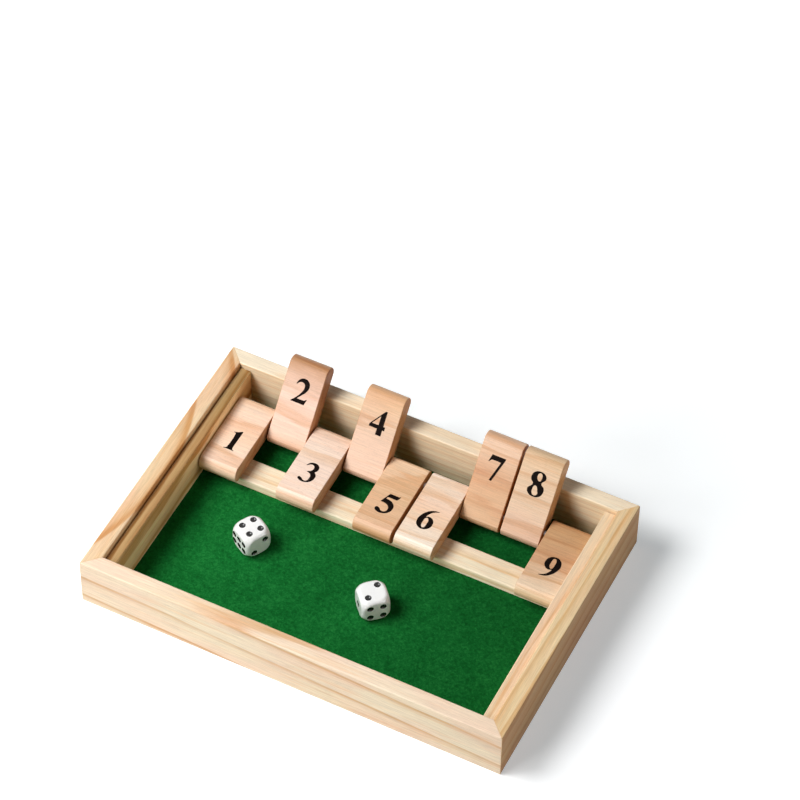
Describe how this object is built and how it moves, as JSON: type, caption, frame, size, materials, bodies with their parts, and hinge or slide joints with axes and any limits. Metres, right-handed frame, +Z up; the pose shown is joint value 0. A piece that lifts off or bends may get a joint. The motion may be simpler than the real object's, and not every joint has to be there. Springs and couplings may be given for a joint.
{
  "type": "shut the box game",
  "caption": "Shallow pine tray with a felt floor, a row of wooden number tiles that flip on one steel rod, and a pair of dice.",
  "frame": {"origin": "middle of the underside, on the surface that the box stands on", "axes": "+X to the player's right along the row of tiles, +Y away from the player towards the tiles, +Z up"},
  "size_m": [0.216, 0.149, 0.044],
  "materials": {
    "pine": "planed pine under a thin clear lacquer",
    "pine_strip": "planed pine under a thin clear lacquer",
    "pine_ledge": "planed pine under a thin clear lacquer",
    "beech": "sanded beech with printed black numbers",
    "fibreboard": "hardboard, smooth side out",
    "green_felt": "short green felt, glued down",
    "steel": "bright drawn steel rod",
    "white_acrylic": "polished white with black pips"
  },
  "bodies": {
    "box": {"front_rail": "pine", "back_rail": "pine", "left_rail": "pine", "right_rail": "pine", "bottom_board": "fibreboard", "felt": "green_felt", "left_strip": "pine_strip", "right_strip": "pine_strip", "tile_ledge": "pine_ledge", "tile_rod": "steel"},
    "tile_1": {"number_tile_1": "beech"},
    "tile_2": {"number_tile_2": "beech"},
    "tile_3": {"number_tile_3": "beech"},
    "tile_4": {"number_tile_4": "beech"},
    "tile_5": {"number_tile_5": "beech"},
    "tile_6": {"number_tile_6": "beech"},
    "tile_7": {"number_tile_7": "beech"},
    "tile_8": {"number_tile_8": "beech"},
    "tile_9": {"number_tile_9": "beech"},
    "left_die": {"die_left": "white_acrylic"},
    "right_die": {"die_right": "white_acrylic"}
  },
  "joints": [
    {"name": "tile_1_hinge", "type": "hinge", "parent": "box", "child": "tile_1", "pos_m": [-0.08361, 0.0491, 0.0143], "axis": [-1, 0, 0], "range_deg": [0, 131.3]},
    {"name": "tile_2_hinge", "type": "hinge", "parent": "box", "child": "tile_2", "pos_m": [-0.06293, 0.0491, 0.0143], "axis": [-1, 0, 0], "range_deg": [-131.3, 0]},
    {"name": "tile_3_hinge", "type": "hinge", "parent": "box", "child": "tile_3", "pos_m": [-0.04234, 0.0491, 0.0143], "axis": [-1, 0, 0], "range_deg": [0, 131.3]},
    {"name": "tile_4_hinge", "type": "hinge", "parent": "box", "child": "tile_4", "pos_m": [-0.02176, 0.0491, 0.0143], "axis": [-1, 0, 0], "range_deg": [-131.3, 0]},
    {"name": "tile_5_hinge", "type": "hinge", "parent": "box", "child": "tile_5", "pos_m": [-0.00157, 0.0491, 0.0143], "axis": [-1, 0, 0], "range_deg": [0, 131.3]},
    {"name": "tile_6_hinge", "type": "hinge", "parent": "box", "child": "tile_6", "pos_m": [0.0199, 0.0491, 0.0143], "axis": [-1, 0, 0], "range_deg": [0, 131.3]},
    {"name": "tile_7_hinge", "type": "hinge", "parent": "box", "child": "tile_7", "pos_m": [0.04019, 0.0491, 0.0143], "axis": [-1, 0, 0], "range_deg": [-131.3, 0]},
    {"name": "tile_8_hinge", "type": "hinge", "parent": "box", "child": "tile_8", "pos_m": [0.06126, 0.0491, 0.0143], "axis": [-1, 0, 0], "range_deg": [-131.3, 0]},
    {"name": "tile_9_hinge", "type": "hinge", "parent": "box", "child": "tile_9", "pos_m": [0.08273, 0.0491, 0.0143], "axis": [-1, 0, 0], "range_deg": [0, 131.3]},
    {"name": "left_die_lift", "type": "slide", "parent": "box", "child": "left_die", "axis": [0, 0, 1], "range_m": [0, 0.12]},
    {"name": "right_die_lift", "type": "slide", "parent": "box", "child": "right_die", "axis": [0, 0, 1], "range_m": [0, 0.12]}
  ]
}
